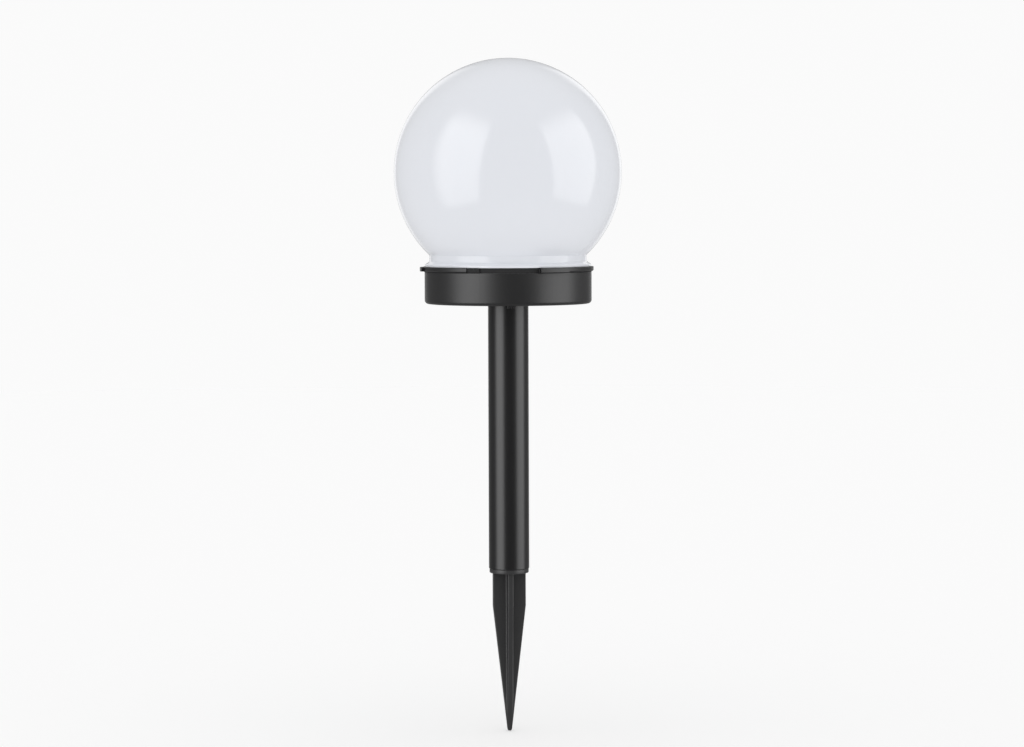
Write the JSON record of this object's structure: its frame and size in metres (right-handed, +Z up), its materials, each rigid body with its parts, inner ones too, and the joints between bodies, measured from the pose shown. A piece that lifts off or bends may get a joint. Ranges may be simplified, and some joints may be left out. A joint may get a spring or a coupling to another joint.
{
  "type": "solar garden light",
  "caption": "Ground-stake garden light: glossy opal ball on a flat black round housing with a battery and solar panel inside, on a straight tube with a finned stake.",
  "frame": {"origin": "centre of the stake collar's underside, where the light meets the ground", "axes": "+Z up the tube to the globe, -Y the front (nearest to the viewer), +X to the right"},
  "size_m": [0.0992, 0.0992, 0.2946],
  "materials": {
    "battery_film": "plain printed film, no text",
    "battery_steel": "nickel plated",
    "black_lead": "soft insulation",
    "board_laminate": "green solder mask",
    "capacitor_can": "drawn can",
    "chip_plastic": "moulded black",
    "clear_resin": "clear poured resin",
    "contact_steel": "nickel plated",
    "cup_plastic": "satin moulded black",
    "deck_plastic": "satin moulded black",
    "ferrite": "dark ferrite",
    "knob_plastic": "moulded black",
    "lamp_epoxy": "clear epoxy with a warm phosphor",
    "opal_plastic": "smooth glossy opal white, lets light through",
    "pad_foam": "thin black foam",
    "panel_laminate": "dark laminate",
    "red_lead": "soft insulation",
    "resistor_body": "tan coating",
    "screw_steel": "zinc plated",
    "seal_rubber": "soft matt black",
    "solar_cell": "dark blue silicon",
    "stake_plastic": "satin moulded black",
    "switch_plastic": "moulded black",
    "switch_steel": "plated sheet",
    "tinned_wire": "tinned",
    "tray_plastic": "moulded black",
    "tube_plastic": "satin extruded black"
  },
  "bodies": {
    "stake": {"ground_stake": "stake_plastic"},
    "tube": {"stem_tube": "tube_plastic"},
    "head": {"base_cup": "cup_plastic", "battery_can": "battery_steel", "battery_lead_black": "black_lead", "battery_lead_red": "red_lead", "battery_sleeve": "battery_film", "battery_spring": "contact_steel", "battery_tray": "tray_plastic", "board_screws": "screw_steel", "capacitor": "capacitor_can", "circuit_board": "board_laminate", "contact_plate_minus": "contact_steel", "contact_plate_plus": "contact_steel", "cup_seal": "seal_rubber", "deck": "deck_plastic", "driver_chip": "chip_plastic", "globe_seal": "seal_rubber", "housing_screws": "screw_steel", "inductor": "ferrite", "lamp_1": "lamp_epoxy", "lamp_2": "lamp_epoxy", "lamp_3": "lamp_epoxy", "lamp_4": "lamp_epoxy", "lamp_5": "lamp_epoxy", "lamp_6": "lamp_epoxy", "lamp_7": "lamp_epoxy", "lamp_8": "lamp_epoxy", "lamp_legs": "tinned_wire", "panel_board": "panel_laminate", "panel_cover": "clear_resin", "panel_lead_black": "black_lead", "panel_lead_red": "red_lead", "panel_pad": "pad_foam", "resistor": "resistor_body", "solar_cell_1": "solar_cell", "solar_cell_2": "solar_cell", "solar_cell_3": "solar_cell", "solar_cell_4": "solar_cell", "switch_body": "switch_plastic", "switch_frame": "switch_steel", "switch_lead_black": "black_lead", "switch_lead_red": "red_lead", "switch_screws": "screw_steel", "switch_terminal_1": "contact_steel", "switch_terminal_2": "contact_steel", "switch_terminal_3": "contact_steel"},
    "globe": {"globe": "opal_plastic"},
    "knob": {"switch_knob": "knob_plastic"}
  },
  "joints": [
    {"name": "tube_pull", "type": "slide", "parent": "stake", "child": "tube", "axis": [0, 0, 1], "range_m": [0, 0.024]},
    {"name": "head_pull", "type": "slide", "parent": "tube", "child": "head", "axis": [0, 0, 1], "range_m": [0, 0.024]},
    {"name": "globe_twist", "type": "hinge", "parent": "head", "child": "globe", "pos_m": [0, 0, 0.13], "axis": [0, 0, 1], "range_deg": [0, 26]},
    {"name": "switch_slide", "type": "slide", "parent": "head", "child": "knob", "axis": [1, 0, 0], "range_m": [0, 0.002]}
  ]
}
